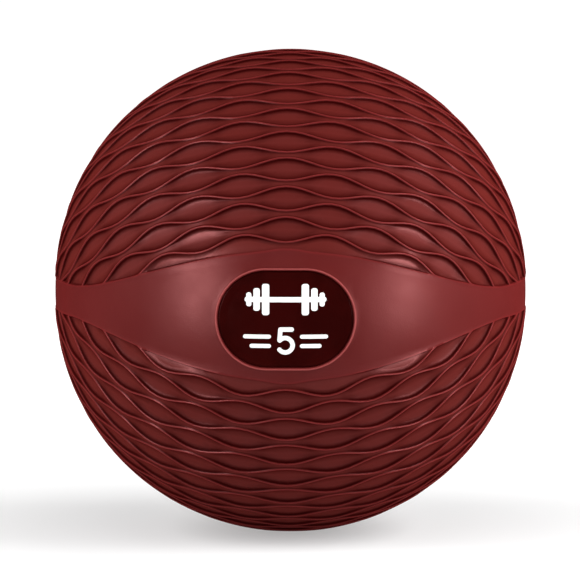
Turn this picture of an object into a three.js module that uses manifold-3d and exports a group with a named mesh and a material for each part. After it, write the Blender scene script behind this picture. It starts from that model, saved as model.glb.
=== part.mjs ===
// A rubber medicine ball, built up the way a moulded one is: a bladder wound with thread, two half shells
// of heavy filled rubber pressed round it, and a moulded cover with a smooth belt and a recessed badge.
// Units are millimetres. The origin is the ball's centre, +Z is up, and the badge faces -Y.
import * as THREE from "three";
import { mergeVertices } from "three/addons/utils/BufferGeometryUtils.js";
import Module from "manifold-3d";

const wasm = await Module();
wasm.setup();

// ---- Driving dimensions ----
const POLE_RADIUS = 115; // centre to the top of the ball
const WAIST_DEPTH = 2.5; // the textured surface is this much nearer to the centre level with the belt
const WAIST_SPREAD = 40; // degrees of latitude over which it swells out again
const GAP = 0.3; // clearance between neighbouring pieces

// The smooth belt: a narrow strip that opens into a wide eye at the front, round the badge,
// and into a small one at the back, round the valve. Heights and reaches are in degrees.
const BELT_DEPTH = 0.5; // the belt lies this far below the textured surface
const BELT_SIDE = 3.75; // half height of the narrow strip
const EYE_RISE = 11.6; // how much higher the front eye is than the strip
const EYE_REACH = 67; // longitude from the front eye's middle to its corner
const EYE_BULGE = 1.05; // above 1, the front eye stays wide for longer and then narrows faster
const BROW_RISE = 0.75; // small extra rise over the middle of the front eye
const BROW_WIDTH = 5; // spread of that rise
const VALVE_EYE_RISE = 4.5;
const VALVE_EYE_REACH = 20;
const BELT_RAMP = 0.5; // width of the step up to the textured surface

// Wall thicknesses from the belt's surface inwards.
const COVER_WALL = 4;
const BALLAST_WALL = 17;
const WINDING_WALL = 1.4;
const BLADDER_WALL = 1.2;

// The badge: a stadium outline with a moulded rim around it.
const BADGE_STRAIGHT = 8.9; // half length of the straight top and bottom
const BADGE_RADIUS = 22.6; // radius of the round ends
const BADGE_DROP = 1.2; // the badge sits this far below the middle of the eye
const BADGE_DEPTH = 2.4; // recess floor below the belt
const BADGE_THICK = 1.3;
const RIM_WIDTH = 1.2;
const RIM_HEIGHT = 0.8; // rim above the belt

// The needle valve, on the +Y axis through the middle of the small eye.
const CORE_RADIUS = 3; // rubber plug
const NEEDLE_RADIUS = 0.8;
const NEEDLE_DEPTH = 21;
const PLUG_SUNK = 0.4; // the plug's outer face below the belt
const PLUG_HEAD_RADIUS = 4.6; // head inside the bladder that keeps the plug from blowing out
const PLUG_HEAD_HEIGHT = 2.2;
const SLEEVE_WALL = 1.7;
const FLANGE_RADIUS = 9;
const FLANGE_THICK = 1.2;
const PATCH_THICK = 1.4; // round reinforcing patch inside the bladder

// Mesh fineness.
const COLUMNS = 60; // cover, around the Z axis
const TEXTURED_ROWS = 10; // cover, from the belt to a pole
const BELT_ROWS = 6; // cover, across the belt
const SHELL_SIDES = 32; // inner shells, around the Y axis
const FINE_SIDES = 64; // badge surfaces
const VALVE_SIDES = 24;

// ---- Worked out from them ----
const EQUATOR_RADIUS = POLE_RADIUS - WAIST_DEPTH;
const STRETCH = POLE_RADIUS / EQUATOR_RADIUS; // the inner shells are this much taller than they are wide
const BELT_RADIUS = EQUATOR_RADIUS - BELT_DEPTH;
const CAVITY_RADIUS = BELT_RADIUS - COVER_WALL;
const BALLAST_OUTER = CAVITY_RADIUS - GAP;
const BALLAST_INNER = BALLAST_OUTER - BALLAST_WALL;
const WINDING_OUTER = BALLAST_INNER - GAP;
const WINDING_INNER = WINDING_OUTER - WINDING_WALL;
const BLADDER_OUTER = WINDING_INNER - GAP;
const BLADDER_INNER = BLADDER_OUTER - BLADDER_WALL;
const PATCH_OUTER = BLADDER_INNER - GAP;
const PATCH_INNER = PATCH_OUTER - PATCH_THICK;
const SLEEVE_INNER_RADIUS = CORE_RADIUS + GAP;
const SLEEVE_OUTER_RADIUS = SLEEVE_INNER_RADIUS + SLEEVE_WALL;
const WALL_BORE_RADIUS = SLEEVE_OUTER_RADIUS + GAP;
const TOP = new THREE.Matrix4().makeScale(1, 1, STRETCH);

// ---- Geometry helpers ----

// A LatheGeometry about the Y axis, stretched in Z with the ball.
function turned(profile, sides, stretch = TOP) {
  const points = profile.map(([radius, y]) => new THREE.Vector2(radius, y));
  return new THREE.LatheGeometry(points, sides).applyMatrix4(stretch);
}

// Points on a circle of the given radius, by angle from the -Y axis in degrees.
function arc(radius, from, to, steps) {
  return Array.from({ length: steps + 1 }, (_, i) => {
    const angle = THREE.MathUtils.degToRad(from + ((to - from) * i) / steps);
    const onAxis = Math.abs(Math.sin(angle)) < 1e-9;
    return [onAxis ? 0 : radius * Math.sin(angle), -radius * Math.cos(angle)];
  });
}

// A solid ball of the given equatorial radius.
function fullBall(radius, sides) {
  return turned(arc(radius, 0, 180, sides / 2), sides);
}

// A plain round bar along +Y.
function bar(radius, from, to) {
  return turned([[0, from], [radius, from], [radius, to], [0, to]], VALVE_SIDES, new THREE.Matrix4());
}

// Where a bore of the given radius around the valve axis meets a ball's last facet before the pole.
function atBore(radius, bore) {
  const step = (2 * Math.PI) / SHELL_SIDES;
  const drop = (radius * (1 - Math.cos(step)) * bore) / (radius * Math.sin(step));
  return [bore, radius - drop];
}

// A hollow ball with a round bore through its back wall.
function shell(outer, inner, bore) {
  const step = 360 / SHELL_SIDES;
  const steps = SHELL_SIDES / 2 - 1;
  const outside = arc(outer, 0, 180 - step, steps);
  const inside = arc(inner, 180 - step, 0, steps);
  return turned([...outside, atBore(outer, bore), atBore(inner, bore), ...inside], SHELL_SIDES);
}

// The same wall as two half shells that meet at y = 0.
function halfShells(outer, inner, bore) {
  const step = 360 / SHELL_SIDES;
  const steps = SHELL_SIDES / 4 - 1;
  const seam = GAP / 2;
  const frontOutside = arc(outer, 0, 90 - step, steps);
  const frontInside = arc(inner, 90 - step, 0, steps);
  const backOutside = arc(outer, 90 + step, 180 - step, steps - 1);
  const backInside = arc(inner, 180 - step, 90 + step, steps - 1);
  const front = [...frontOutside, [outer, -seam], [inner, -seam], ...frontInside];
  const back = [
    [outer, seam],
    ...backOutside,
    atBore(outer, bore),
    atBore(inner, bore),
    ...backInside,
    [inner, seam],
    [outer, seam],
  ];
  return [turned(front, SHELL_SIDES), turned(back, SHELL_SIDES)];
}

// A stadium outline, extruded through the front wall of the ball.
function badgePrism(straight, radius) {
  const outline = new THREE.Shape();
  outline.moveTo(-straight, -radius);
  outline.lineTo(straight, -radius);
  outline.absarc(straight, 0, radius, -Math.PI / 2, Math.PI / 2, false);
  outline.lineTo(-straight, radius);
  outline.absarc(-straight, 0, radius, Math.PI / 2, Math.PI * 1.5, false);
  const depth = 60;
  const geometry = new THREE.ExtrudeGeometry(outline, { depth, bevelEnabled: false, curveSegments: 20 });
  return geometry.rotateX(Math.PI / 2).translate(0, -EQUATOR_RADIUS + depth / 2, -BADGE_DROP);
}

// How far an eye lifts the belt's edge, at a distance from the eye's middle. All in degrees but the bulge.
function eyeLift(rise, reach, distance, bulge = 1) {
  const share = Math.min(distance / reach, 1) ** bulge;
  return rise * Math.cos((share * Math.PI) / 2) ** 2;
}

// Half height of the belt in degrees of latitude, at a longitude in degrees from the front.
function beltEdge(longitude) {
  const fromFront = Math.abs(longitude);
  const front = eyeLift(EYE_RISE, EYE_REACH, fromFront, EYE_BULGE);
  const brow = BROW_RISE * Math.exp(-((fromFront / BROW_WIDTH) ** 2));
  const back = eyeLift(VALVE_EYE_RISE, VALVE_EYE_REACH, 180 - fromFront);
  return BELT_SIDE + front + brow + back;
}

// Distance from the centre to the textured surface at a latitude in degrees.
function surfaceRadius(latitude) {
  return POLE_RADIUS - WAIST_DEPTH * Math.exp(-((latitude / WAIST_SPREAD) ** 2));
}

// One column of the cover's outside, from just above the south pole to just below the north pole:
// pairs of latitude in degrees and depth below the textured surface.
function coverColumn(longitude) {
  const edge = beltEdge(longitude);
  const foot = edge + BELT_RAMP;
  const north = [];
  for (let row = 0; row < TEXTURED_ROWS; row++) {
    north.push([foot + ((90 - foot) * row) / TEXTURED_ROWS, 0]);
  }
  const belt = [];
  for (let row = 0; row <= BELT_ROWS; row++) {
    belt.push([edge * ((2 * row) / BELT_ROWS - 1), BELT_DEPTH]);
  }
  const south = north.map(([latitude, depth]) => [-latitude, depth]).reverse();
  return [...south, ...belt, ...north];
}

// The cover's outside: one grid of columns between two poles.
function coverSkin() {
  const positions = [0, 0, -POLE_RADIUS];
  const index = [];
  let rows = 0;
  for (let column = 0; column < COLUMNS; column++) {
    const longitude = -180 + (360 * column) / COLUMNS;
    const around = THREE.MathUtils.degToRad(longitude);
    const stations = coverColumn(longitude);
    rows = stations.length;
    for (const [latitude, depth] of stations) {
      const up = THREE.MathUtils.degToRad(latitude);
      const radius = surfaceRadius(latitude) - depth;
      const flat = radius * Math.cos(up);
      positions.push(flat * Math.sin(around), -flat * Math.cos(around), radius * Math.sin(up));
    }
  }
  const northPole = positions.length / 3;
  positions.push(0, 0, POLE_RADIUS);
  const vertex = (column, row) => 1 + (column % COLUMNS) * rows + row;
  for (let column = 0; column < COLUMNS; column++) {
    index.push(0, vertex(column + 1, 0), vertex(column, 0));
    index.push(northPole, vertex(column, rows - 1), vertex(column + 1, rows - 1));
    for (let row = 0; row < rows - 1; row++) {
      const [a, b] = [vertex(column, row), vertex(column + 1, row)];
      const [c, d] = [vertex(column + 1, row + 1), vertex(column, row + 1)];
      index.push(a, b, c, a, c, d);
    }
  }
  const geometry = new THREE.BufferGeometry();
  geometry.setAttribute("position", new THREE.Float32BufferAttribute(positions, 3));
  return geometry.setIndex(index);
}

// ---- Joins and cuts ----

// A closed geometry as a solid.
function solid(geometry) {
  const bare = geometry.clone();
  bare.deleteAttribute("normal");
  bare.deleteAttribute("uv");
  const merged = mergeVertices(bare, 1e-4);
  const vertProperties = new Float32Array(merged.attributes.position.array);
  const triVerts = new Uint32Array(merged.index.array);
  return new wasm.Manifold(new wasm.Mesh({ numProp: 3, vertProperties, triVerts }));
}

// A solid back as a geometry.
function geometryOf(body) {
  const { vertProperties, triVerts } = body.getMesh();
  const geometry = new THREE.BufferGeometry();
  geometry.setAttribute("position", new THREE.Float32BufferAttribute(vertProperties, 3));
  geometry.setIndex(new THREE.BufferAttribute(triVerts, 1));
  geometry.computeVertexNormals();
  return geometry;
}

// The part of a spherical layer that lies inside the badge outline.
function badgeLayer(straight, radius, outer, inner) {
  const layer = solid(fullBall(outer, FINE_SIDES)).subtract(solid(fullBall(inner, FINE_SIDES)));
  return solid(badgePrism(straight, radius)).intersect(layer);
}

// ---- Pieces ----

const material = (color, roughness) => new THREE.MeshStandardMaterial({ color, roughness, metalness: 0 });
const ball = new THREE.Group();

function piece(name, geometry, look) {
  const mesh = new THREE.Mesh(geometry, look);
  mesh.name = name;
  ball.add(mesh);
}

// Moulded cover: skin, badge rim and recess, hollow inside, bored for the valve plug.
function cover() {
  const rimTop = BELT_RADIUS + RIM_HEIGHT;
  const rimFoot = BELT_RADIUS - BADGE_DEPTH;
  const rim = badgeLayer(BADGE_STRAIGHT, BADGE_RADIUS + RIM_WIDTH, rimTop, rimFoot);
  const recess = badgeLayer(BADGE_STRAIGHT, BADGE_RADIUS, EQUATOR_RADIUS + RIM_HEIGHT, rimFoot);
  const cavity = solid(fullBall(CAVITY_RADIUS, SHELL_SIDES));
  const bore = solid(bar(SLEEVE_INNER_RADIUS, 0, EQUATOR_RADIUS + 1));
  return geometryOf(solid(coverSkin()).add(rim).subtract(recess).subtract(cavity).subtract(bore));
}
piece("cover", cover(), material(0xa8282c, 0.5));

// Glossy badge plate, curved to the recess floor.
const badgeFoot = BELT_RADIUS - BADGE_DEPTH + GAP;
const badge = badgeLayer(BADGE_STRAIGHT, BADGE_RADIUS - GAP, badgeFoot + BADGE_THICK, badgeFoot);
piece("front_badge", geometryOf(badge), material(0x3a0508, 0.2));

// Heavy filled rubber in two half shells.
const [ballastFront, ballastBack] = halfShells(BALLAST_OUTER, BALLAST_INNER, WALL_BORE_RADIUS);
piece("ballast_front", ballastFront, material(0x2b2a2c, 0.8));
piece("ballast_back", ballastBack, material(0x2b2a2c, 0.8));

// Thread winding over the bladder, and the bladder itself.
piece("winding", shell(WINDING_OUTER, WINDING_INNER, WALL_BORE_RADIUS), material(0xd8d2c0, 0.9));
piece("bladder", shell(BLADDER_OUTER, BLADDER_INNER, WALL_BORE_RADIUS), material(0x1a1a1a, 0.5));

// Patch inside the bladder around the valve, as wide as the bladder's last ring of facets.
const patchRim = (radius) => arc(radius, 180 - 360 / SHELL_SIDES, 180, 1)[0];
const patch = [
  patchRim(PATCH_OUTER),
  atBore(PATCH_OUTER, WALL_BORE_RADIUS),
  atBore(PATCH_INNER, WALL_BORE_RADIUS),
  patchRim(PATCH_INNER),
  patchRim(PATCH_OUTER),
];
piece("valve_patch", turned(patch, SHELL_SIDES), material(0x1a1a1a, 0.6));

// Sleeve that lines the bore through the wall, with a flange against the patch.
const sleeveTop = CAVITY_RADIUS - 2 * GAP;
const flangeTop = Math.sqrt(PATCH_INNER ** 2 - FLANGE_RADIUS ** 2) - 2 * GAP;
const flangeFoot = flangeTop - FLANGE_THICK;
const sleeve = [
  [SLEEVE_INNER_RADIUS, flangeFoot],
  [FLANGE_RADIUS, flangeFoot],
  [FLANGE_RADIUS, flangeTop],
  [SLEEVE_OUTER_RADIUS, flangeTop],
  [SLEEVE_OUTER_RADIUS, sleeveTop],
  [SLEEVE_INNER_RADIUS, sleeveTop],
  [SLEEVE_INNER_RADIUS, flangeFoot],
];
piece("valve_sleeve", turned(sleeve, VALVE_SIDES, new THREE.Matrix4()), material(0x1a1a1a, 0.6));

// Plug that the needle goes into: a blind needle hole in a stem, and a head inside the bladder.
const plugTop = BELT_RADIUS - PLUG_SUNK;
const headTop = flangeFoot - GAP;
const plug = [
  [0, headTop - PLUG_HEAD_HEIGHT],
  [PLUG_HEAD_RADIUS, headTop - PLUG_HEAD_HEIGHT],
  [PLUG_HEAD_RADIUS, headTop],
  [CORE_RADIUS, headTop],
  [CORE_RADIUS, plugTop],
  [NEEDLE_RADIUS, plugTop],
  [NEEDLE_RADIUS, plugTop - NEEDLE_DEPTH],
  [0, plugTop - NEEDLE_DEPTH],
];
piece("valve_core", turned(plug, VALVE_SIDES, new THREE.Matrix4()), material(0x222222, 0.5));

export default ball;
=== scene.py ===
"""Looks for a rubber medicine ball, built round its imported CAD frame.

The frame is in metres with the origin at the ball's centre, +Z up and the badge facing -Y. The fine shape is
worked out here in millimetres and degrees, on directions from the centre, and turned into metres at the end.
"""

import math

import bmesh
import bpy
import numpy as np
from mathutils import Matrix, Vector


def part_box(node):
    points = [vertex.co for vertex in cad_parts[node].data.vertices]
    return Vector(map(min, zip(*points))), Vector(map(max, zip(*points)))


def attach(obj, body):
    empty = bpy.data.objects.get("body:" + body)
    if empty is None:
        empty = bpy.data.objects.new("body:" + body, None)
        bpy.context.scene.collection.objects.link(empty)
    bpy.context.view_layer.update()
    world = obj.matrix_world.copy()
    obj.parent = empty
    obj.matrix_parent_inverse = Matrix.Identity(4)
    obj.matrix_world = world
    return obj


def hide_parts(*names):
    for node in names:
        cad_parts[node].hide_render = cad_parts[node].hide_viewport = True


MM = 0.001

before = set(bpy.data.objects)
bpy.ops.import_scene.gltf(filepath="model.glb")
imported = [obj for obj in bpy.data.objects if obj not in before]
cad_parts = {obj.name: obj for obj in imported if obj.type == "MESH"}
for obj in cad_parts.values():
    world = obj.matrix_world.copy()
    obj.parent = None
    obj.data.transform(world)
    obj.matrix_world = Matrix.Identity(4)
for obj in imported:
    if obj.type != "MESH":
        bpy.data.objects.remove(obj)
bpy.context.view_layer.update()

# ---- Sizes shared with the frame, mm ----
POLE_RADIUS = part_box("cover")[1][2] / MM
WAIST_DEPTH = 2.5  # the ribs' crowns are this much nearer to the centre level with the belt
WAIST_SPREAD = 40  # degrees of latitude over which the ball swells out again
CROWN_RADIUS = POLE_RADIUS - WAIST_DEPTH
STRETCH = POLE_RADIUS / CROWN_RADIUS
RIB_HEIGHT = 0.55  # the wavy ribs stand this far above the land between them
LAND_EQUATOR = CROWN_RADIUS - RIB_HEIGHT
BELT_DEPTH = 0.5  # the belt lies this far under the crowns
BELT_RISE = RIB_HEIGHT - BELT_DEPTH
COVER_WALL = 4
CAVITY_RADIUS = CROWN_RADIUS - BELT_DEPTH - COVER_WALL

# ---- The belt, degrees ----
BELT_SIDE = 3.75
EYE_RISE = 11.6
EYE_REACH = 67.0
EYE_BULGE = 1.05  # above 1, the front eye stays wide for longer and then narrows faster
BROW_RISE = 0.75  # a little more over the middle of the badge
BROW_WIDTH = 5.0
VALVE_EYE_RISE = 4.5
VALVE_EYE_REACH = 20.0
BELT_RAMP = 0.3  # width of the step between the belt and the textured surface
LIP_WIDTH = 0.45  # soft lip along the belt's edge
LIP_HEIGHT = 0.25  # mm
ON_EDGE = 1e-5  # a point this close to the belt's edge lies on it

# ---- The wavy ribs: rings about an axis that leans back, degrees ----
AXIS_LIFT = 47.13  # the axis points backwards and this far up
FIRST_RING = 18.88  # latitude of the first ring over the middle of the front
RING_STEP = 3.81
WAVE_HEIGHT = 1.157
WAVES = 16
LAST_RING = 28
FADE_FROM = 34.0  # nearer to the axis than this, the waves shrink with the rings
APRON_FOOT = 11.5  # the grid starts here, and is cut off where the belt begins

# ---- Cross-section of a rib and of the scoop between two ribs ----
BEAD_HALF = 0.31  # degrees
GROOVE_MIDDLE = 0.45
GROOVE_END = 0.65
LOW_GROOVE = 0.15  # mm, depth of the groove along the foot of the rib nearer to the belt
HIGH_GROOVE = 0.45  # mm, along the foot of the other rib
LEAST_DEPTH = 0.15  # mm, of a scoop where its ribs pinch
SCOOP_DEPTH = 1.5  # mm, where they are furthest apart
PINCHED = 1.2  # degrees between two ribs; the features below grow as the gap gets wider than this
SCOOP_OPENS = 4.4  # degrees of further gap that bring the scoop to its full depth
GROOVE_OPENS = 2  # the same for the deeper groove
SHADE_OPENS = 3  # and for the shading
APRON_PINCHED = 0.6  # as PINCHED, between the belt and the first rib
BADGE_SPAN = 14  # degrees to each side of the front, over which the scoops along the belt stay shallow
DISH_DEPTH = 0.6  # mm, of the smooth dish inside the last ring
DISH_REACH = 6.6  # degrees

# ---- Painted shade and painted highlight stored for the material: its reach in degrees, and its strength from 0 to 1 ----
FOOT_REACH, FOOT_STRENGTH = 0.4, 0.6  # close to a rib, on both sides of it
UNDER_REACH, UNDER_STRENGTH = 1.4, 0.92  # on the belt's side of a rib
OVER_REACH, OVER_STRENGTH = 2.4, 0.7  # on the other side
POCKET_REACH, POCKET_STRENGTH = 0.45, 0.85  # along the belt's edge
POCKET_LEAST = 0.35  # share of the last that is left where the hollow is flat
POCKET_DEPTH = 0.6  # mm of hollow that make it full
RIM_HIGHLIGHT = 1.5  # of the badge's rim, where a rib's crest has 1: painted paler still, a painted highlight
LIP_HIGHLIGHT = 0.8  # of the lip along the belt's edge, painted paler as a highlight

# ---- Badge and valve, mm ----
BADGE_STRAIGHT = 8.9
BADGE_RADIUS = 22.6
BADGE_DROP = 1.2  # the badge's middle is this much lower than the ball's
BADGE_DEPTH = 2.4
RECESS_WALL = 0.2  # the recess drops over this width
RIM_WIDTH = 1.2
RIM_HEIGHT = 0.8
RIM_POWER = 0.8  # below 1, the rim's section is fuller than half an ellipse
FILLET_WIDTH = 0.8
FILLET_HEIGHT = 0.12
BORE_RADIUS = 3.3
VALVE_RING = 7.3  # radius of the raised ring round the valve
VALVE_RING_HALF = 0.8
VALVE_RING_HEIGHT = 0.35
VALVE_DISH = 4.3  # radius of the dish that the plug sits in
VALVE_DISH_EDGE = 1.0
VALVE_DISH_DEPTH = 0.6
FAR_OFF = 100.0  # stands for a distance on the wrong side of the ball

# ---- Mesh fineness ----
SAMPLES = 12  # columns per wave
APRON_SHARES = (0, 0.2, 0.4, 0.55, 0.7, 0.85)  # rows between the grid's foot and the first rib
HOLLOW_SHARES = (0.22, 0.52, 0.8)  # rows between the grooves of two ribs
DISH_SHARES = (0.3, 0.6, 0.85)  # rows between the last rib and the axis
BELT_COLUMNS = 240
BELT_ROWS = 16
CAVITY_ROWS = 24
WELD = 0.02  # mm, points closer than this become one
SLIVER = 0.005  # mm, shorter edges are dissolved
NEARLY_ZERO = 1e-7  # a field is never left nearer to zero than this
ON_CUT = 1e-4  # and a point nearer than this lies on the cut
HALVINGS = 24  # steps that find where an edge is cut


# ================= Shape, as functions of the direction from the centre =================

def smooth(t):
    """0 up to 0, 1 from 1 on, and a gentle step between."""
    t = np.clip(t, 0.0, 1.0)
    return t * t * (3 - 2 * t)


def unit(points):
    return points / np.linalg.norm(points, axis=1, keepdims=True)


def from_lon_lat(lon, lat):
    """Directions from longitude, counted from the front, and latitude."""
    lon, lat = np.radians(lon), np.radians(lat)
    return np.stack([np.cos(lat) * np.sin(lon), -np.cos(lat) * np.cos(lon), np.sin(lat)], axis=-1)


def lon_lat(points):
    lon = np.degrees(np.arctan2(points[:, 0], -points[:, 1]))
    lat = np.degrees(np.arcsin(np.clip(points[:, 2], -1, 1)))
    return lon, lat


def land_radius(points):
    """Distance from the centre to the land between the ribs, mm."""
    _, lat = lon_lat(points)
    return POLE_RADIUS - RIB_HEIGHT - WAIST_DEPTH * np.exp(-((lat / WAIST_SPREAD) ** 2))


def eye_lift(rise, reach, distance, bulge=1.0):
    """Lift of an eye-shaped stretch of the belt's edge: all of rise at its middle, none at its reach."""
    inside = np.clip(distance / reach, 0, 1) ** bulge
    return rise * np.cos(inside * math.pi / 2) ** 2


def belt_edge(lon):
    """Half height of the belt at a longitude."""
    front = np.abs(lon)
    eye = eye_lift(EYE_RISE, EYE_REACH, front, EYE_BULGE)
    brow = BROW_RISE * np.exp(-((front / BROW_WIDTH) ** 2))
    return BELT_SIDE + eye + brow + eye_lift(VALVE_EYE_RISE, VALVE_EYE_REACH, 180 - front)


def above_belt(points):
    """Degrees of latitude above the belt's edge, the same in both halves."""
    lon, lat = lon_lat(points)
    return np.abs(lat) - belt_edge(lon)


def ring_axes():
    """The rings' axis, and the directions that their turn starts from and grows towards."""
    lift = math.radians(AXIS_LIFT)
    axis = np.array([0, math.cos(lift), math.sin(lift)])
    ahead = np.array([0, -math.sin(lift), math.cos(lift)])
    return axis, ahead, np.array([1.0, 0, 0])


def ring_point(height, turn):
    """A direction in the upper half. Height is the latitude where that ring passes over the front."""
    axis, ahead, side = ring_axes()
    polar = np.radians(180 - AXIS_LIFT - height)[..., None]
    turn = np.radians(turn)[..., None]
    return np.cos(polar) * axis + np.sin(polar) * (np.cos(turn) * ahead + np.sin(turn) * side)


def ring_place(points):
    """The reverse of ring_point, for directions in either half."""
    axis, ahead, side = ring_axes()
    upper = points.copy()
    upper[:, 2] = np.abs(upper[:, 2])
    polar = np.degrees(np.arccos(np.clip(upper @ axis, -1, 1)))
    turn = np.degrees(np.arctan2(upper @ side, upper @ ahead))
    return 180 - AXIS_LIFT - polar, turn


def rib_line(number, turn):
    """Height of a wavy rib. Neighbouring ribs swing opposite ways, so they part and pinch in turn."""
    middle = FIRST_RING + RING_STEP * number
    polar = 180 - AXIS_LIFT - middle
    fade = np.clip(np.sin(np.radians(polar)) / math.sin(math.radians(FADE_FROM)), 0, 1)
    side = np.where(np.mod(number, 2) == 0, -1, 1)
    return middle + WAVE_HEIGHT * np.where(polar > 90, 1, fade) * side * np.cos(np.radians(WAVES * turn))


def bead(distance):
    """Round section of a rib, from 1 on its crest down to 0."""
    return np.sqrt(np.clip(1 - (distance / BEAD_HALF) ** 2, 0, 1))


def foot_groove(distance):
    """The narrow groove along a rib's foot."""
    return smooth(1 - np.abs(distance - GROOVE_MIDDLE) / (GROOVE_END - GROOVE_MIDDLE))


def shade(distance, reach):
    """How much shade is painted beside a rib, for the light it keeps off that surface: 1 at its foot, 0 at a
    distance.
    """
    return 1 - smooth((distance - BEAD_HALF) / reach)


def scoop(below, above):
    """Depth in mm of the round hollow between two ribs, by the distances from each."""
    gap = below + above
    share = np.clip((above - BEAD_HALF) / (gap - 2 * BEAD_HALF), 0, 1)
    widened = smooth((gap - PINCHED) / SCOOP_OPENS)
    return (LEAST_DEPTH + (SCOOP_DEPTH - LEAST_DEPTH) * widened) * 4 * share * (1 - share)


def apron_scoop(below, above, points):
    """The same between the belt's edge, where it is deepest, and the first rib. Shallow over the badge."""
    share = np.clip((above - BEAD_HALF) / (below + above), 0, 1)
    lon, _ = lon_lat(points)
    beside = smooth((np.abs(lon) - BADGE_SPAN) / BADGE_SPAN)
    widened = smooth(below + above - APRON_PINCHED)
    return (LEAST_DEPTH + (SCOOP_DEPTH - LEAST_DEPTH) * beside * widened) * share


def texture(points):
    """Height in mm of the textured surface over the land, and its shares of rib and of painted shade.

    Each point lies between the rib with its number and the next one. Under the first rib is the apron, down
    to the belt, and past the last one is the cap, round the axis.
    """
    height, turn = ring_place(points)
    over = above_belt(points)
    number = np.clip(np.floor((height - FIRST_RING) / RING_STEP), -1, LAST_RING)
    number = np.where(height < rib_line(number, turn), number - 1, number)
    number = np.where(height >= rib_line(number + 1, turn), number + 1, number)
    number = np.clip(number, -1, LAST_RING)
    apron = number < 0
    cap = number >= LAST_RING
    below = np.where(apron, np.maximum(over, 0), height - rib_line(number, turn))
    above = np.where(cap, 180 - AXIS_LIFT - height, rib_line(number + 1, turn) - height)
    gap = below + above
    rib = np.maximum(np.where(apron, 0, bead(below)), np.where(cap, 0, bead(above)))
    groove = np.where(apron, 0, LOW_GROOVE * foot_groove(below))
    groove += np.where(cap, 0, HIGH_GROOVE * foot_groove(above) * smooth((gap - PINCHED) / GROOVE_OPENS))
    hollow = np.where(apron, apron_scoop(below, above, points), scoop(below, above))
    hollow = np.where(cap, DISH_DEPTH * smooth(1 - above / DISH_REACH), hollow)
    # Painted shade: darker at both feet of each rib, on either side of it, and along the belt's edge.
    low_foot = np.where(apron, 0, shade(below, FOOT_REACH))
    high_foot = np.where(cap, 0, shade(above, FOOT_REACH))
    opened = smooth((gap - PINCHED) / SHADE_OPENS)
    bright = 1 - FOOT_STRENGTH * np.maximum(low_foot, high_foot)
    bright *= 1 - UNDER_STRENGTH * np.where(cap, 0, shade(above, UNDER_REACH) * opened)
    bright *= 1 - OVER_STRENGTH * np.where(apron, 0, shade(below, OVER_REACH) * opened)
    pocket_shade = POCKET_LEAST + (1 - POCKET_LEAST) * smooth(hollow / POCKET_DEPTH)
    bright *= 1 - POCKET_STRENGTH * shade(over, POCKET_REACH) * pocket_shade
    return RIB_HEIGHT * rib - groove - hollow, rib, (1 - bright) * (1 - rib)


def stadium(x, z, radius):
    """Signed distance to a stadium as long as the badge, negative inside."""
    return np.hypot(np.maximum(np.abs(x) - BADGE_STRAIGHT, 0), z) - radius


def badge_distance(points):
    """Distance outside the badge outline, mm. Far away on the back half."""
    radius = land_radius(points) + BELT_RISE
    outside = stadium(points[:, 0] * radius, points[:, 2] * radius + BADGE_DROP, BADGE_RADIUS)
    return np.where(points[:, 1] < 0, outside, FAR_OFF)


def valve_distance(points):
    """Distance from the valve's axis, mm. Far away on the front half."""
    radius = land_radius(points) + BELT_RISE
    off = np.hypot(points[:, 0], points[:, 2]) * radius
    return np.where(points[:, 1] > 0, off, FAR_OFF)


# Outlines that follow the badge and the valve, as distances outside the badge and from the valve's axis.
RIM_LEVELS = [2.0, 1.6, 1.2, 1.08, 0.84, 0.6, 0.36, 0.12, 0.0, -0.2, -7.0, -15.0]
VALVE_LEVELS = [8.1, 7.7, 7.3, 6.9, 6.5, 5.4, 4.3, 3.8, 3.45, BORE_RADIUS]


def belt_surface(points):
    """Height in mm of the belt over the land, with the badge recess, its rim and the valve's ring."""
    out = badge_distance(points)
    height = np.full(len(points), BELT_RISE)
    height += LIP_HEIGHT * smooth(1 + above_belt(points) / LIP_WIDTH)
    half = RIM_WIDTH / 2
    crown = RIM_HEIGHT * np.sqrt(np.clip(1 - ((out - half) / half) ** 2, 0, 1)) ** RIM_POWER
    fillet = FILLET_HEIGHT * smooth((RIM_WIDTH + FILLET_WIDTH - out) / FILLET_WIDTH)
    height += np.where(out > 0, np.maximum(crown, fillet), 0)
    height -= BADGE_DEPTH * smooth(-out / RECESS_WALL)
    off = valve_distance(points)
    ring = 0.5 + 0.5 * np.cos(math.pi * np.clip((off - VALVE_RING) / VALVE_RING_HALF, -1, 1))
    dish = smooth((VALVE_DISH - off) / VALVE_DISH_EDGE)
    return height + VALVE_RING_HEIGHT * ring - VALVE_DISH_DEPTH * dish


def outer_radius(points):
    """Distance from the centre to the cover's outside, mm, and the shares of texture, rib and painted shade.

    The share of rib, which the material paints paler as a highlight, counts the badge's rim and the belt's
    lip too.
    """
    over = above_belt(points)
    mix = smooth(over / BELT_RAMP)
    rough, rib, painted_shade = texture(points)
    height = (1 - mix) * belt_surface(points) + mix * rough
    # The crests of the badge's rim and of the belt's lip get a painted highlight, through the share of rib.
    rim_highlight = RIM_HIGHLIGHT * bead((badge_distance(points) / RIM_WIDTH - 0.5) * 2 * BEAD_HALF)
    lip_highlight = LIP_HIGHLIGHT * smooth(1 - np.abs(over) / LIP_WIDTH)
    return land_radius(points) + height, mix, np.maximum.reduce([rib * mix, rim_highlight, lip_highlight]), painted_shade * mix


# ================= Mesh helpers =================

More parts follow.
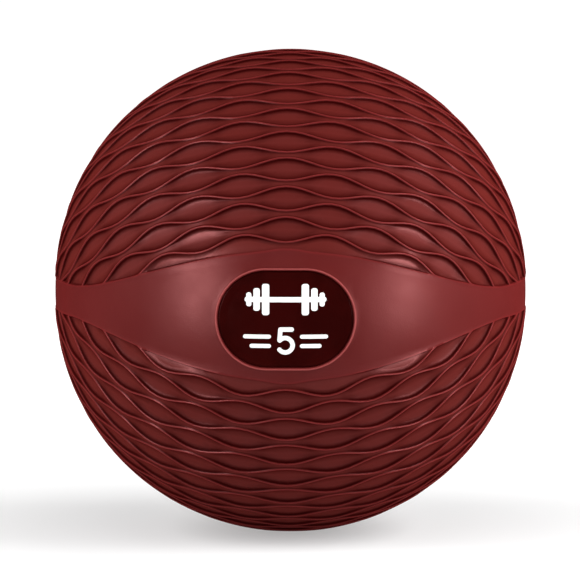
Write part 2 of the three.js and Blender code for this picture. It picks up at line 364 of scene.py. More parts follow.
def cut_along(points, tris, field):
    """Puts an edge wherever the field is zero, and gives the new points and triangles."""
    value = field(points)
    value = np.where(np.abs(value) < NEARLY_ZERO, NEARLY_ZERO, value)
    side = value > 0
    edges = np.sort(tris[:, [[0, 1], [1, 2], [2, 0]]], axis=2)
    crossing = side[edges[..., 0]] != side[edges[..., 1]]
    cut, back = np.unique(edges[crossing], axis=0, return_inverse=True)
    low, high = points[cut[:, 0]], points[cut[:, 1]]
    low_side = side[cut[:, 0]]
    for _ in range(HALVINGS):
        middle = unit((low + high) / 2)
        same = ((field(middle) > 0) == low_side)[:, None]
        low, high = np.where(same, middle, low), np.where(same, high, middle)
    fresh = np.full(edges.shape[:2], -1)
    fresh[crossing] = len(points) + back.reshape(-1)
    whole = ~crossing.any(axis=1)
    split, marks = tris[~whole], fresh[~whole]
    rows = np.arange(len(split))
    lone = np.argmin(marks >= 0, axis=1)  # the edge that isn't cut; the lone corner is opposite it
    first = (lone + 2) % 3
    a, b, c = (split[rows, (first + step) % 3] for step in range(3))
    p, q = marks[rows, first], marks[rows, (first + 2) % 3]
    made = [np.stack(three, axis=1) for three in ((a, p, q), (p, b, c), (p, c, q))]
    return np.vstack([points, unit((low + high) / 2)]), np.vstack([tris[whole], *made])


def keep(points, tris, field):
    """Only the triangles on the positive side of a field that was cut along before."""
    inside = (field(points) > ON_CUT)[tris].any(axis=1)
    used, renumbered = np.unique(tris[inside], return_inverse=True)
    return points[used], renumbered.reshape(-1, 3)


def grid_tris(rows, columns, wrap):
    """Triangles of a grid whose vertex number is row * columns + column. Rows go up, columns go right."""
    across = np.arange(columns if wrap else columns - 1)
    row, column = np.meshgrid(np.arange(rows - 1), across, indexing="ij")
    a = row * columns + column
    b = row * columns + (column + 1) % columns
    c, d = b + columns, a + columns
    return np.concatenate([np.stack([a, b, c], -1).reshape(-1, 3), np.stack([a, c, d], -1).reshape(-1, 3)])


def zipper(lower, upper, low_at, high_at):
    """Triangles between two closed rows of vertex numbers, sorted by the angles low_at and high_at."""
    tris = []
    i = j = 0
    while i < len(lower) or j < len(upper):
        next_low = low_at[i + 1] if i + 1 < len(lower) else low_at[0] + 360
        next_high = high_at[j + 1] if j + 1 < len(upper) else high_at[0] + 360
        a, b = lower[i % len(lower)], upper[j % len(upper)]
        if j >= len(upper) or (i < len(lower) and next_low <= next_high):
            tris.append((a, lower[(i + 1) % len(lower)], b))
            i += 1
        else:
            tris.append((a, upper[(j + 1) % len(upper)], b))
            j += 1
    return np.array(tris)


def belt_point(x, z, toward):
    """Direction of the belt's point at x and z in mm, on the front (toward -1) or the back (toward 1)."""
    radius = np.full(len(x), LAND_EQUATOR + BELT_RISE)
    for _ in range(4):  # enough for the radius to settle
        points = unit(np.stack([x, toward * np.sqrt(radius**2 - x**2 - z**2), z], axis=1))
        radius = land_radius(points) + BELT_RISE
    return points


def ring_patch(points, tris, distance, toward, straight, radius, middle, levels):
    """Replaces what lies inside an outline by rings that follow it, and gives the innermost ring too.

    The outline is a stadium, or a circle where straight is 0, with its middle at that height. Each level is a
    ring's distance outside it. Toward is -1 on the front and 1 on the back.
    """
    points, tris = cut_along(points, tris, lambda p: distance(p) - levels[0])
    points, tris = keep(points, tris, lambda p: distance(p) - levels[0])
    ring = np.flatnonzero(np.abs(distance(points) - levels[0]) < ON_CUT)
    flat = points[ring] * (land_radius(points[ring]) + BELT_RISE)[:, None] - [0, 0, middle]
    order = np.argsort(toward * np.arctan2(-flat[:, 2], flat[:, 0]))
    ring, x, z = ring[order], flat[order, 0], flat[order, 2]
    core = np.clip(x, -straight, straight)
    reach = np.hypot(x - core, z)
    for level in levels[1:]:
        share = (radius + level) / reach
        inner = len(points) + np.arange(len(ring))
        points = np.vstack([points, belt_point(core + (x - core) * share, middle + z * share, toward)])
        after, inner_after = np.roll(ring, -1), np.roll(inner, -1)
        outer_half = np.stack([ring, after, inner_after], axis=1)
        inner_half = np.stack([ring, inner_after, inner], axis=1)
        tris = np.vstack([tris, outer_half, inner_half])
        ring = inner
    return points, tris, ring


def mesh_object(name, points, tris, sharp=60):
    """A closed smooth-shaded object from points in mm. Edges sharper than so many degrees stay sharp."""
    mesh = bpy.data.meshes.new(name)
    mesh.from_pydata((np.asarray(points) * MM).tolist(), [], np.asarray(tris).tolist())
    work = bmesh.new()
    work.from_mesh(mesh)
    bmesh.ops.remove_doubles(work, verts=work.verts, dist=WELD * MM)
    bmesh.ops.dissolve_degenerate(work, edges=work.edges, dist=SLIVER * MM)
    work.to_mesh(mesh)
    work.free()
    mesh.shade_smooth()
    mesh.set_sharp_from_angle(angle=math.radians(sharp))
    made = bpy.data.objects.new(name, mesh)
    bpy.context.scene.collection.objects.link(made)
    return made


# ================= Cover =================

def rib_stations(number, turn):
    """Heights of the grid rows from one rib to just below the next."""
    start, end = rib_line(number, turn), rib_line(number + 1, turn)
    run = end - start - 2 * GROOVE_MIDDLE
    near = [start + step for step in (0, BEAD_HALF / 2, BEAD_HALF, GROOVE_MIDDLE)]
    floor = [start + GROOVE_MIDDLE + run * share for share in HOLLOW_SHARES]
    return near + floor + [end - step for step in (GROOVE_MIDDLE, BEAD_HALF, BEAD_HALF / 2)]


def upper_texture():
    """The upper textured half, down to the belt's edge."""
    columns = WAVES * SAMPLES
    turn = np.arange(columns) * 360 / columns
    rows = []
    first = rib_line(0, turn)
    for share in APRON_SHARES:
        rows.append(APRON_FOOT + (first - GROOVE_MIDDLE - APRON_FOOT) * share)
    rows += [first - step for step in (GROOVE_MIDDLE, BEAD_HALF, BEAD_HALF / 2)]
    for number in range(LAST_RING):
        rows += rib_stations(number, turn)
    last = rib_line(LAST_RING, turn)
    centre = 180 - AXIS_LIFT
    for step in (0, BEAD_HALF / 2, BEAD_HALF, GROOVE_MIDDLE, GROOVE_END):
        rows.append(last + step)
    for share in DISH_SHARES:
        rows.append(last + GROOVE_END + (centre - last - GROOVE_END) * share)
    tip = ring_point(np.array([centre]), np.zeros(1))
    points = np.concatenate([ring_point(row, turn) for row in rows] + [tip])
    tris = grid_tris(len(rows), columns, wrap=True)
    rim = (len(rows) - 1) * columns + np.arange(columns)
    cap = np.stack([rim, np.roll(rim, -1), np.full(columns, len(points) - 1)], axis=1)
    tris = np.vstack([tris, cap])
    points, tris = cut_along(points, tris, above_belt)
    points, tris = keep(points, tris, lambda p: np.where(p[:, 2] > 0, above_belt(p), -1))
    for over in (BELT_RAMP, 2 * BELT_RAMP):
        points, tris = cut_along(points, tris, lambda p: above_belt(p) - over)
    return points, tris


def belt(edge_points):
    """The belt between the two textured halves, as fine at its edges as the halves are."""
    edge_lon, _ = lon_lat(edge_points)
    order = np.argsort(edge_lon)
    edge_lon, top = edge_lon[order], edge_points[order]
    count = len(top)
    lon = -180 + np.arange(BELT_COLUMNS) * 360 / BELT_COLUMNS
    inner = belt_edge(lon) - LIP_WIDTH
    rows = [from_lon_lat(lon, inner * share) for share in np.linspace(-1, 1, BELT_ROWS)]
    points = np.concatenate([top * [1, 1, -1], *rows, top])
    grid = grid_tris(BELT_ROWS, BELT_COLUMNS, wrap=True) + count
    low_row = count + np.arange(BELT_COLUMNS)
    high_row = low_row + (BELT_ROWS - 1) * BELT_COLUMNS
    low_edge = np.arange(count)
    high_edge = low_edge + count + BELT_ROWS * BELT_COLUMNS
    low_join = zipper(low_edge, low_row, edge_lon, lon)
    high_join = zipper(high_row, high_edge, lon, edge_lon)
    tris = np.vstack([grid, low_join, high_join])
    outline = (BADGE_STRAIGHT, BADGE_RADIUS, -BADGE_DROP)
    points, tris, ring = ring_patch(points, tris, badge_distance, -1, *outline, RIM_LEVELS)
    middle = len(points)
    points = np.vstack([points, belt_point(np.zeros(1), np.array([-BADGE_DROP]), -1)])
    tris = np.vstack([tris, np.stack([ring, np.roll(ring, -1), np.full(len(ring), middle)], axis=1)])
    return ring_patch(points, tris, valve_distance, 1, 0, 0, 0, VALVE_LEVELS)


def inside_wall(rim):
    """The bore from the valve's rim inwards and the hollow's surface, as rows round the Y axis."""
    angle = np.arctan2(rim[:, 2], rim[:, 0])
    deepest = 180 - math.degrees(math.asin(BORE_RADIUS / CAVITY_RADIUS))
    rows = [rim]
    for polar in np.radians(np.linspace(deepest, 0, CAVITY_ROWS + 1)[:-1]):
        flat = CAVITY_RADIUS * math.sin(polar)
        level = np.full(len(angle), -CAVITY_RADIUS * math.cos(polar))
        rows.append(np.stack([flat * np.cos(angle), level, flat * np.sin(angle) * STRETCH], axis=1))
    points = np.concatenate([*rows, [[0, -CAVITY_RADIUS, 0]]])
    tris = grid_tris(len(rows), len(rim), wrap=True)
    last = (len(rows) - 1) * len(rim) + np.arange(len(rim))
    cap = np.stack([last, np.roll(last, -1), np.full(len(rim), len(points) - 1)], axis=1)
    return points, np.vstack([tris, cap])


def make_cover():
    top_points, top_tris = upper_texture()
    on_edge = np.abs(above_belt(top_points)) < ON_EDGE
    belt_points, belt_tris, rim = belt(top_points[on_edge])
    outside = np.vstack([top_points, top_points * [1, 1, -1], belt_points])
    tris = np.vstack([
        top_tris,
        top_tris[:, ::-1] + len(top_points),
        belt_tris + 2 * len(top_points),
    ])
    outside = outside * outer_radius(outside)[0][:, None]
    wall, wall_tris = inside_wall(outside[2 * len(top_points) + rim])
    cover = mesh_object("ball_cover", np.vstack([outside, wall]), np.vstack([tris, wall_tris + len(outside)]))
    add_masks(cover)
    return cover


def add_masks(cover):
    """Stores where the texture, its ribs (painted paler, as a highlight) and its painted shade are, for the
    material.
    """
    mesh = cover.data
    places = np.empty(len(mesh.vertices) * 3)
    mesh.vertices.foreach_get("co", places)
    places = places.reshape(-1, 3) / MM
    _, rough, rib, painted_shade = outer_radius(unit(places))
    in_hollow = np.linalg.norm(places, axis=1) < CAVITY_RADIUS * STRETCH - WELD / 2
    for name, values in (("textured", rough), ("rib", rib), ("painted_shade", painted_shade)):
        layer = mesh.attributes.new(name, "FLOAT", "POINT")
        layer.data.foreach_set("value", np.where(in_hollow, 0, values).astype(np.float32))


cover = make_cover()
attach(cover, "root")
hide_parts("cover")


# ================= Badge =================

PLATE_GAP = 0.3  # round the plate, and under it
PLATE_RADIUS = BADGE_RADIUS - PLATE_GAP
PLATE_FOOT = BELT_RISE - BADGE_DEPTH + PLATE_GAP  # height of its underside over the land
PLATE_EDGE = PLATE_FOOT + 1.9
PLATE_FLOOR = PLATE_FOOT + 1.3
PLATE_SLOPE = 4.0  # width of the dished border
PLATE_FLAT_EDGE = 0.4  # the slope starts this far in
PLATE_ROUND = 0.5  # width of the round along the upper edge
PLATE_ROUND_DROP = 0.35
PLATE_BEVEL = 0.2  # along the lower edge
PLATE_INSETS = [19, 16, 13, 10, 8, 6.5, 5.5, 4.7, 4, 3.4, 2.8, 2.2, 1.6, 1, 0.5, 0.3, 0.15, 0.05, 0]
UNDERSIDE_INSETS = [7, 14]
PLATE_COLUMNS = 240
PRINT_STEP = 0.45
PRINT_HEIGHT = 0.08
PRINT_GAP = 0.01  # the ink's underside is this far above the plate
PRINT_HALF_WIDTH = 22  # of the sheet that the print is cut from
PRINT_HALF_HEIGHT = 18.5
SHEET_AWAY = 1000.0  # the sheet stands this far off while it is cut, as directions
BARBELL_LEVEL = 9.3
DIGIT_WIDTH = 2.1  # of its strokes
BAR_THICK = 1.9


def on_front(x, z, height):
    """A point in mm at x and z from the badge's middle, at a height over the land."""
    points = belt_point(x, z - BADGE_DROP, -1)
    return points * (land_radius(points) + height)[:, None]


def plate_height(inset):
    """Height of the plate's face by the distance in from its outline: a round edge, a slope, a flat floor."""
    arc = np.sqrt(np.clip(1 - (1 - np.clip(inset / PLATE_ROUND, 0, 1)) ** 2, 0, 1))
    slope = smooth((inset - PLATE_FLAT_EDGE) / (PLATE_SLOPE - PLATE_FLAT_EDGE))
    return PLATE_EDGE - PLATE_ROUND_DROP * (1 - arc) - (PLATE_EDGE - PLATE_FLOOR) * slope


def stadium_ring(reach):
    """Points round a stadium whose ends have the radius given, evenly by angle and along the straights."""
    half = PLATE_COLUMNS // 2
    straight_steps = PLATE_COLUMNS // 8
    turn = np.radians(np.linspace(-90, 90, half - straight_steps + 1))
    run = np.linspace(1, -1, straight_steps + 1)[1:-1]
    x = np.concatenate([BADGE_STRAIGHT + reach * np.cos(turn), BADGE_STRAIGHT * run])
    z = np.concatenate([reach * np.sin(turn), np.full(len(run), reach)])
    return np.concatenate([x, -x]), np.concatenate([z, -z])


def make_plate():
    """The glossy plate as rings: from the middle of its face out over the edge and back under."""
    rings = [(PLATE_RADIUS - inset, plate_height(inset)) for inset in [PLATE_RADIUS, *PLATE_INSETS]]
    rings += [(PLATE_RADIUS, PLATE_FOOT + PLATE_BEVEL), (PLATE_RADIUS - PLATE_BEVEL, PLATE_FOOT)]
    rings += [(PLATE_RADIUS - inset, PLATE_FOOT) for inset in [*UNDERSIDE_INSETS, PLATE_RADIUS]]
    rows = [on_front(*stadium_ring(reach), height) for reach, height in rings]
    tris = grid_tris(len(rows), len(rows[0]), wrap=True)[:, ::-1]
    plate = mesh_object("badge_plate", np.concatenate(rows), tris)
    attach(plate, "root")
    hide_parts("front_badge")
    return plate


def box_distance(x, z, at_x, at_z, width, height, corner):
    """Signed distance to a rectangle with round corners."""
    over_x = np.abs(x - at_x) - width / 2 + corner
    over_z = np.abs(z - at_z) - height / 2 + corner
    outside = np.hypot(np.maximum(over_x, 0), np.maximum(over_z, 0))
    return outside + np.minimum(np.maximum(over_x, over_z), 0) - corner


def stroke_distance(x, z, start, end, width):
    """Signed distance to a straight stroke with round ends."""
    run = np.array(end) - start
    share = np.clip(((x - start[0]) * run[0] + (z - start[1]) * run[1]) / (run @ run), 0, 1)
    return np.hypot(x - start[0] - share * run[0], z - start[1] - share * run[1]) - width / 2


def bowl_distance(x, z, at_x, at_z, radius, start, end, width):
    """Signed distance to an arc with round ends, from the angle start down to the angle end."""
    middle = math.radians((start + end) / 2)
    spread = math.radians((start - end) / 2)
    turn = np.arctan2(z - at_z, x - at_x) - middle
    turn = np.abs((turn + math.pi) % (2 * math.pi) - math.pi)
    from_arc = np.abs(np.hypot(x - at_x, z - at_z) - radius)
    tips = []
    for angle in (start, end):
        angle = math.radians(angle)
        tips.append(np.hypot(x - at_x - radius * math.cos(angle), z - at_z - radius * math.sin(angle)))
    return np.where(turn < spread, from_arc, np.minimum(*tips)) - width / 2


def barbell(x, z):
    """A barbell picture: a bar, and three discs that get smaller at each end."""
    side = np.abs(x)
    parts = [box_distance(side, z, 0, BARBELL_LEVEL, 38, 2.4, 1.2)]
    for at, width, height in ((9.2, 3.4, 14.5), (13.4, 3.0, 10.5), (17.0, 2.4, 6.5)):
        parts.append(box_distance(side, z, at, BARBELL_LEVEL, width, height, 1.1))
    return np.minimum.reduce(parts)


def numeral_five(x, z):
    """The digit of the ball's mass: a top stroke, a leaning stroke and a bowl."""
    return np.minimum.reduce([
        stroke_distance(x, z, (-2.3, -4.6), (2.9, -4.6), DIGIT_WIDTH),
        stroke_distance(x, z, (-2.3, -4.6), (-2.75, -9.6), DIGIT_WIDTH),
        bowl_distance(x, z, -0.1, -12.0, 3.4, 138, -142, DIGIT_WIDTH),
    ])


def side_bars(x, z):
    """Two plain bars on each side of the digit."""
    side = np.abs(x)
    return np.minimum(
        box_distance(side, z, 13.2, -8.0, 13.0, BAR_THICK, BAR_THICK / 2),
        box_distance(side, z, 11.7, -12.4, 10.0, BAR_THICK, BAR_THICK / 2),
    )


PRINTED = {"print_barbell": barbell, "print_digit": numeral_five, "print_bars": side_bars}


def make_print(name, shape):
    """A thin raised layer of ink on the plate, cut from a fine grid along the shape's outline."""
    across = np.arange(-PRINT_HALF_WIDTH, PRINT_HALF_WIDTH + PRINT_STEP, PRINT_STEP)
    up = np.arange(-PRINT_HALF_HEIGHT, PRINT_HALF_HEIGHT + PRINT_STEP, PRINT_STEP)
    x, z = (axis.ravel() for axis in np.meshgrid(across, up))
    sheet = np.stack([x, np.full(len(x), -SHEET_AWAY), z], axis=1)
    tris = grid_tris(len(up), len(across), wrap=False)

    def on_sheet(points):
        return points[:, 0] / -points[:, 1] * SHEET_AWAY, points[:, 2] / -points[:, 1] * SHEET_AWAY

    def inside(points):
        return -shape(*on_sheet(points))

    points, tris = cut_along(unit(sheet), tris, inside)
    points, tris = keep(points, tris, inside)
    x, z = on_sheet(points)
    inset = -stadium(x, z, PLATE_RADIUS)
    top = on_front(x, z, plate_height(inset) + PRINT_HEIGHT)
    foot = on_front(x, z, plate_height(inset) + PRINT_GAP)
    edges = tris[:, [[0, 1], [1, 2], [2, 0]]].reshape(-1, 2).tolist()
    known = {tuple(edge) for edge in edges}
    start, end = np.array([(a, b) for a, b in edges if (b, a) not in known]).T
    count = len(points)
    wall = np.vstack([
        np.stack([end, start, start + count], axis=1),
        np.stack([end, start + count, end + count], axis=1),
    ])
    made = mesh_object(name, np.vstack([top, foot]), np.vstack([tris, tris[:, ::-1] + count, wall]))
    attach(made, "root")
    return made


plate = make_plate()
prints = [make_print(name, shape) for name, shape in PRINTED.items()]


# ================= Valve plug =================

PLUG_RADIUS = 3.0
PLUG_SINK = 0.15  # its face is this much lower than the dish round it
PLUG_FACE = LAND_EQUATOR + BELT_RISE - VALVE_DISH_DEPTH - PLUG_SINK
PLUG_ROUND = 0.5  # of its face's edge
NEEDLE_RADIUS = 0.8
NEEDLE_DEPTH = 20
HEAD_THICK = 2.2  # the wide head at its inner end
HEAD_ROUND = 0.4
PLUG_SIDES = 64


def make_plug():
    """The rubber plug: a flat face with a raised lip round the needle hole, and the stem and head inside."""
    low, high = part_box("valve_core")
    head_foot, head_radius = low[1] / MM, high[0] / MM
    profile = [
        (0, head_foot),
        (head_radius - HEAD_ROUND, head_foot),
        (head_radius, head_foot + HEAD_ROUND),
        (head_radius, head_foot + HEAD_THICK - HEAD_ROUND),
        (head_radius - HEAD_ROUND, head_foot + HEAD_THICK),
        (PLUG_RADIUS, head_foot + HEAD_THICK),
        (PLUG_RADIUS, PLUG_FACE - PLUG_ROUND),
        (PLUG_RADIUS - PLUG_ROUND * 0.3, PLUG_FACE - PLUG_ROUND * 0.3),
        (PLUG_RADIUS - PLUG_ROUND, PLUG_FACE),
        (1.9, PLUG_FACE + 0.02),
        (1.6, PLUG_FACE + 0.12),
        (1.3, PLUG_FACE + 0.16),
        (1.0, PLUG_FACE + 0.08),
        (NEEDLE_RADIUS, PLUG_FACE - 0.15),
        (NEEDLE_RADIUS * 0.8, PLUG_FACE - 3),
        (NEEDLE_RADIUS * 0.5, PLUG_FACE - NEEDLE_DEPTH),
        (0, PLUG_FACE - NEEDLE_DEPTH - 0.5),
    ]
    turn = np.radians(np.arange(PLUG_SIDES) * 360 / PLUG_SIDES)
    x, z = np.cos(turn), np.sin(turn)
    rows = [np.stack([radius * x, np.full(PLUG_SIDES, y), radius * z], axis=1) for radius, y in profile]
    tris = grid_tris(len(rows), PLUG_SIDES, wrap=True)[:, ::-1]
    plug = mesh_object("valve_plug", np.concatenate(rows), tris, sharp=40)
    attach(plug, "root")
    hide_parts("valve_core")
    return plug


plug = make_plug()


# ================= Materials =================

class Look:
    """A node material under construction: a principled shader, and helpers that wire nodes into it."""

    def __init__(self, name, roughness, specular):
        self.material = bpy.data.materials.new(name)
        self.material.use_nodes = True
        self.tree = self.material.node_tree
        self.shader = self.tree.nodes["Principled BSDF"]
        self.feed("Roughness", roughness)
        self.feed("Specular IOR Level", specular)
        self.place = self.node("ShaderNodeTexCoord").outputs["Object"]

    def node(self, kind, **values):
        made = self.tree.nodes.new(kind)
        for key, value in values.items():
            setattr(made, key, value)
        return made

    def link(self, source, target):
        self.tree.links.new(source, target)

    def noise(self, scale, detail=2.0, roughness=0.5):
        made = self.node("ShaderNodeTexNoise")
        made.inputs["Scale"].default_value = scale
        made.inputs["Detail"].default_value = detail
        made.inputs["Roughness"].default_value = roughness
        self.link(self.place, made.inputs["Vector"])
        return made.outputs["Fac"]

    def attribute(self, name):
        return self.node("ShaderNodeAttribute", attribute_name=name).outputs["Fac"]

    def ranged(self, source, low, high, from_low=0.0, from_high=1.0):
        """Low to high, as the source goes over its own range. It stays at the nearer end outside that."""
        made = self.node("ShaderNodeMapRange")
        self.link(source, made.inputs["Value"])
        ends = {"From Min": from_low, "From Max": from_high, "To Min": low, "To Max": high}
        for key, value in ends.items():
            made.inputs[key].default_value = value
        return made.outputs["Result"]

    def blend(self, share, first, second):
        """Colours mixed by a share, which is a socket. Colours may be sockets or tuples."""
        made = self.node("ShaderNodeMix", data_type="RGBA")
        self.set(made.inputs["Factor"], share)
        self.set(made.inputs["A"], first)
        self.set(made.inputs["B"], second)
        return made.outputs["Result"]

    def mottled(self, noise, dark, pale, low=0.35, high=0.65):
        """A colour that wanders between two, as the noise goes from low to high."""
        return self.blend(self.ranged(noise, 0, 1, low, high), dark, pale)

    def combine(self, operation, first, second):
        """A math node's result for two sockets or numbers."""
        made = self.node("ShaderNodeMath", operation=operation)
        self.set(made.inputs[0], first)
        self.set(made.inputs[1], second)
        return made.outputs[0]

    def feed(self, name, value):
        """Gives the shader's input of that name a socket, a colour or a number."""
        self.set(self.shader.inputs[name], value)

    def set(self, socket, value):
        if isinstance(value, bpy.types.NodeSocket):
            self.link(value, socket)
        elif isinstance(value, tuple):
            socket.default_value = (*value, 1)
        else:
            socket.default_value = value

    def bumps(self, *layers):
        """Bump from layers of (height socket, distance in metres, strength), one on top of the next."""
        normal = None
        for height, distance, strength in layers:
            made = self.node("ShaderNodeBump")
            made.inputs["Distance"].default_value = distance
            made.inputs["Strength"].default_value = strength
            self.link(height, made.inputs["Height"])
            if normal:
                self.link(normal, made.inputs["Normal"])
            normal = made.outputs["Normal"]
        self.link(normal, self.shader.inputs["Normal"])

    def give(self, *objects):
        for item in objects:
            item.data.materials.clear()
            item.data.materials.append(self.material)


BELT_DARK = (0.087, 0.0085, 0.0082)
BELT_PALE = (0.096, 0.0100, 0.0096)
TEXTURE_RED = (0.094, 0.0106, 0.0086)
# Painted shade beside the ribs and along the belt's edge.
PAINTED_SHADE_RED = (0.021, 0.0008, 0.0008)
# Painted highlight on the crests of the ribs, and paler still on the badge's rim.
RIB_HIGHLIGHT_RED = (0.13, 0.011, 0.011)
RIM_HIGHLIGHT_RED = (0.26, 0.055, 0.052)
SPECK_RED = (0.11, 0.03, 0.03)
RIB_FULL = 0.9  # share of rib that has the ribs' whole painted highlight colour; above it, the rim's paler painted highlight comes in


def cover_look():
    """Dark red moulded rubber: satin, finely grained, a little paler on the ribs as a painted highlight, and
    darker where shade is painted.

    Its gloss fades where shade is painted, and where it is seen edge on.
    """
    look = Look("dark_red_rubber", 0.5, 0.5)
    textured, painted_shade, rib = (look.attribute(name) for name in ("textured", "painted_shade", "rib"))
    colour = look.mottled(look.noise(28, 3), BELT_DARK, BELT_PALE)
    colour = look.blend(textured, colour, TEXTURE_RED)
    # Painted shade beside the ribs and along the belt's edge.
    colour = look.blend(painted_shade, colour, PAINTED_SHADE_RED)
    # Painted highlight: paler on the crests of the ribs and the belt's lip, palest on the badge's rim.
    colour = look.blend(look.ranged(rib, 0, RIB_FULL), colour, RIB_HIGHLIGHT_RED)
    colour = look.blend(look.ranged(rib, 0, 1, RIB_FULL, RIM_HIGHLIGHT), colour, RIM_HIGHLIGHT_RED)
    speck = look.noise(900, 2, 0.6)
    colour = look.blend(look.ranged(speck, 0, 0.12, 0.62, 0.8), colour, SPECK_RED)
    look.feed("Base Color", colour)
    look.feed("Specular Tint", (1.0, 0.38, 0.38))
    worn = look.ranged(look.noise(60, 4), -0.05, 0.05, 0.3, 0.7)
    look.feed("Roughness", look.combine("ADD", look.ranged(textured, 0.36, 0.345), worn))
    edge_on = look.node("ShaderNodeLayerWeight").outputs["Facing"]
    fading = look.combine("POWER", look.ranged(edge_on, 1.0, 0.07, 0.1, 0.72), 2)
    # The painted shade dims the gloss as well.
    dimming = look.ranged(painted_shade, 1.0, 0.03, 0.0, 0.8)
    gloss = look.combine("MULTIPLY", look.ranged(textured, 0.44, 0.68), dimming)
    look.feed("Specular IOR Level", look.combine("MULTIPLY", gloss, fading))
    look.bumps((look.noise(1600, 3, 0.6), 0.00012, 0.35), (look.noise(140, 2), 0.0006, 0.12))
    return look


def plate_look():
    """Near-black maroon gloss with faint ripples."""
    look = Look("badge_gloss", 0.2, 0.08)
    colour = look.mottled(look.noise(60, 2), (0.018, 0.001, 0.0008), (0.023, 0.0013, 0.0011), 0.4, 0.6)
    look.feed("Base Color", colour)
    look.feed("Specular Tint", (1.0, 0.3, 0.3))
    look.feed("Roughness", look.ranged(look.noise(300, 3), 0.16, 0.26, 0.3, 0.7))
    look.bumps((look.noise(90, 1), 0.0003, 0.05))
    return look


def print_look():
    """White ink, slightly uneven."""
    look = Look("white_print", 0.45, 0.4)
    look.feed("Base Color", look.mottled(look.noise(700, 3), (0.86, 0.855, 0.85), (0.93, 0.93, 0.925)))
    look.bumps((look.noise(1500, 2), 0.00005, 0.3))
    return look


def black_rubber_look(name, dark, pale, roughness, grain):
    """Rubber of the inner parts. Grain is the scale of its clouds; its surface is six times as fine."""
    look = Look(name, roughness, 0.4)
    look.feed("Base Color", look.mottled(look.noise(grain, 3), dark, pale))
    polish = look.ranged(look.noise(grain * 2, 2), roughness - 0.06, roughness + 0.06)
    look.feed("Roughness", polish)
    look.bumps((look.noise(grain * 6, 3), 0.0001, 0.3))
    return look


def thread_look():
    """Wound nylon thread: fine crossing bands of pale yarn."""
    look = Look("wound_thread", 0.7, 0.3)
    strands = []
    for turn in (0.5, 2.1):
        mapped = look.node("ShaderNodeMapping")
        mapped.inputs["Rotation"].default_value = (turn, turn / 2, 0)
        look.link(look.place, mapped.inputs["Vector"])
        wave = look.node("ShaderNodeTexWave")
        look.set(wave.inputs["Scale"], 220)
        look.set(wave.inputs["Distortion"], 1.5)
        look.link(mapped.outputs["Vector"], wave.inputs["Vector"])
        strands.append(wave.outputs["Fac"])
    under, over = strands
    colour = look.blend(under, (0.42, 0.38, 0.28), (0.72, 0.68, 0.56))
    colour = look.blend(look.ranged(over, 0, 0.5), colour, (0.78, 0.75, 0.64))
    look.feed("Base Color", colour)
    look.bumps((under, 0.0003, 0.6), (over, 0.0003, 0.6))
    return look


cover_look().give(cover)
plate_look().give(plate)
print_look().give(*prints)
valve_rubber = black_rubber_look("valve_rubber", (0.012, 0.012, 0.013), (0.022, 0.022, 0.024), 0.42, 500)
valve_rubber.give(plug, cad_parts["valve_sleeve"])
butyl = black_rubber_look("black_butyl", (0.008, 0.008, 0.009), (0.016, 0.016, 0.017), 0.5, 120)
butyl.give(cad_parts["bladder"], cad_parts["valve_patch"])
filled = black_rubber_look("filled_rubber", (0.03, 0.029, 0.03), (0.06, 0.057, 0.056), 0.72, 260)
filled.give(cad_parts["ballast_front"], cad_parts["ballast_back"])
thread_look().give(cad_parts["winding"])


# ================= Camera, floor and light =================

BALL_SHARE = 0.83276  # of the picture's height, taken by the ball's height
CAMERA_TURN = 1.2  # degrees round from the front towards +X
CAMERA_LIFT = 6.43
CAMERA_AWAY = 28.0  # in ball radii
CAMERA_SHIFT = (-0.00086, 0.00017)  # in picture widths
SENSOR = 36.0  # mm
FLOOR_SIDE = 60  # metres
GLOW = (0.38, 0.98)  # of the floor, close to the ball and further out
GLOW_FROM = (0.12, 0.85)  # metres from the ball, where it starts and stops to grow
FILL = 0.08  # strength of the even light from all sides

# Name, degrees round from the front, degrees up, metres away, size in metres, watts, and whether it makes a
# highlight.
SOFT_BOXES = [
    ("left_box", -43, 4, 1.2, (0.28, 0.46), 8, True),
    ("right_box", 56, 1, 1.2, (0.35, 0.36), 6.2, True),
    ("left_fill", -76, 25, 1.4, (1.4, 1.4), 28, False),
    ("right_fill", 80, 25, 1.4, (1.4, 1.4), 42, False),
    ("top_box", 0, 60, 1.4, (1.1, 1.1), 6, False),
]


def direction(turn, lift):
    """Direction from the ball towards something at an angle round from the front and an angle up."""
    turn, lift = math.radians(turn), math.radians(lift)
    return Vector((math.cos(lift) * math.sin(turn), -math.cos(lift) * math.cos(turn), math.sin(lift)))


def aim(item, place):
    """Puts an object somewhere, looking at the ball's centre."""
    item.location = place
    item.rotation_euler = (-Vector(place)).to_track_quat("-Z", "Y").to_euler()


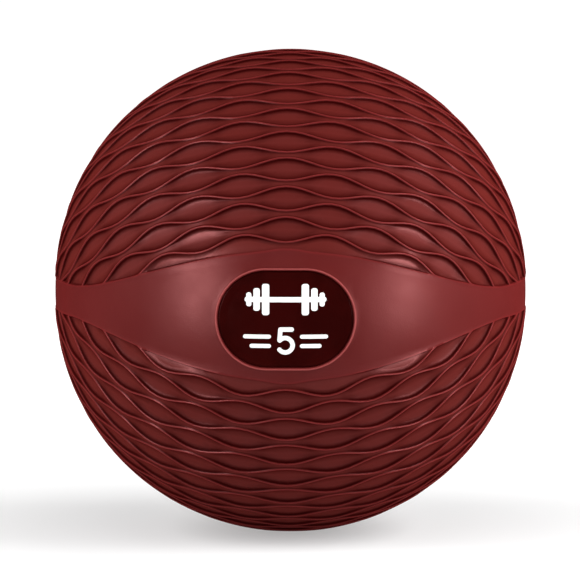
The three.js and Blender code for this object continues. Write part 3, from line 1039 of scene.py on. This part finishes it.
def make_camera():
    data = bpy.data.cameras.new("camera")
    data.sensor_width = SENSOR
    data.lens = SENSOR * BALL_SHARE / 2 * math.sqrt(CAMERA_AWAY**2 - 1)
    data.shift_x, data.shift_y = CAMERA_SHIFT
    data.clip_end = 50
    item = bpy.data.objects.new("camera", data)
    bpy.context.scene.collection.objects.link(item)
    aim(item, direction(CAMERA_TURN, CAMERA_LIFT) * CAMERA_AWAY * POLE_RADIUS * MM)
    bpy.context.scene.camera = item


def soft_light(name, turn, lift, away, size, power, highlight):
    """A soft box, aimed at the ball. It makes only a highlight, or only lights what it shines on."""
    data = bpy.data.lights.new(name, "AREA")
    data.shape = "RECTANGLE"
    data.size, data.size_y = size
    data.energy = power
    item = bpy.data.objects.new(name, data)
    item.visible_glossy = highlight
    item.visible_diffuse = not highlight
    bpy.context.scene.collection.objects.link(item)
    aim(item, direction(turn, lift) * away)


def make_stage():
    """A pale floor that isn't mirrored in the ball. Its glow grows outwards, and turns it white there."""
    bpy.ops.mesh.primitive_plane_add(size=FLOOR_SIDE, location=(0, 0, -POLE_RADIUS * MM))
    floor = bpy.context.object
    floor.name = "floor"
    floor.visible_glossy = False
    look = Look("pale_floor", 0.7, 0.1)
    look.feed("Base Color", look.mottled(look.noise(3, 2), (0.55, 0.55, 0.55), (0.57, 0.57, 0.57), 0.4, 0.6))
    away = look.node("ShaderNodeVectorMath", operation="LENGTH")
    look.link(look.place, away.inputs[0])
    look.feed("Emission Color", (1, 1, 1))
    look.feed("Emission Strength", look.ranged(away.outputs["Value"], *GLOW, *GLOW_FROM))
    look.give(floor)


def make_lights():
    """Soft boxes on both sides and above, with a weak even fill."""
    world = bpy.data.worlds.new("studio")
    world.use_nodes = True
    background = world.node_tree.nodes["Background"]
    background.inputs["Color"].default_value = (1, 1, 1, 1)
    background.inputs["Strength"].default_value = FILL
    bpy.context.scene.world = world
    for box in SOFT_BOXES:
        soft_light(*box)
    bpy.context.scene.view_settings.view_transform = "Standard"


make_camera()
make_stage()
make_lights()
